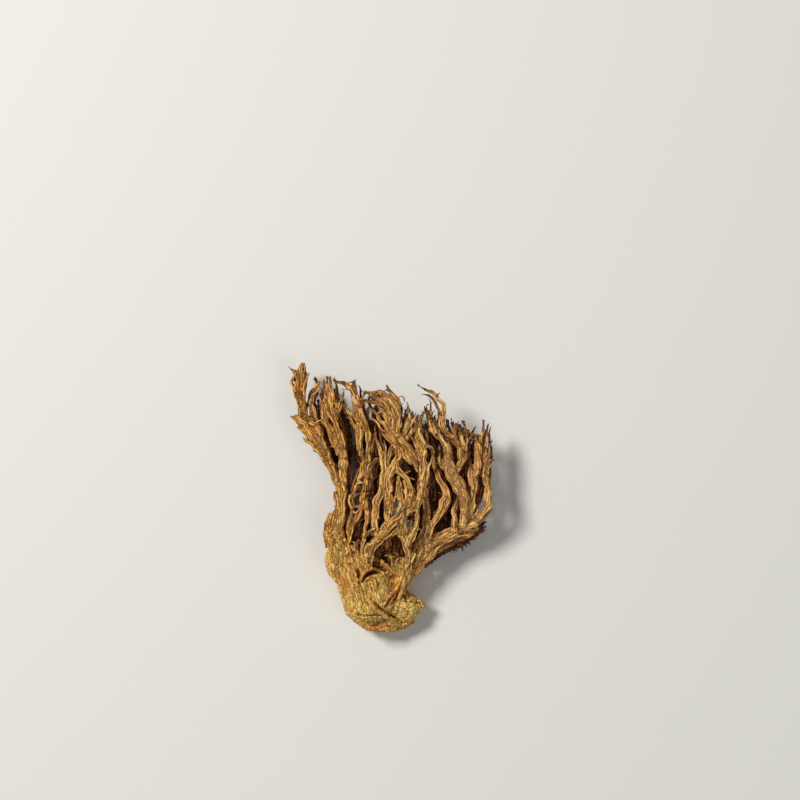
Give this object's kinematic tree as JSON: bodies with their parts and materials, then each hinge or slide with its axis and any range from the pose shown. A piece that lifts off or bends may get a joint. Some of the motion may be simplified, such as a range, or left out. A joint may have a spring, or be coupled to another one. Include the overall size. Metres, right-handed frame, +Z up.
{
  "type": "dried coral fungus",
  "caption": "Dried coral fungus lying flat: a pale, cut stem that forks into limbs of slender, flattened, curling strands, over darker limbs that lie underneath.",
  "frame": {"origin": "under the middle of the whole, on the surface that it lies on", "axes": "+Y from the cut stem to the branch tips, +Z up, away from the surface that it lies on, +X to the right as seen from above"},
  "size_m": [0.0566, 0.0748, 0.0188],
  "materials": {
    "stem_flesh": "dry flesh, matt, cracked and granular",
    "limb_flesh": "dry fibrous flesh, matt, wrinkled lengthwise",
    "under_flesh": "dry fibrous flesh, matt, red-brown"
  },
  "bodies": {
    "root": {"stem": "stem_flesh", "left_limb": "limb_flesh", "inner_limb": "limb_flesh", "middle_limb": "limb_flesh", "forked_limb": "limb_flesh", "right_limb": "limb_flesh", "back_left_limb": "under_flesh", "back_middle_limb": "under_flesh", "back_right_limb": "under_flesh"}
  },
  "joints": []
}
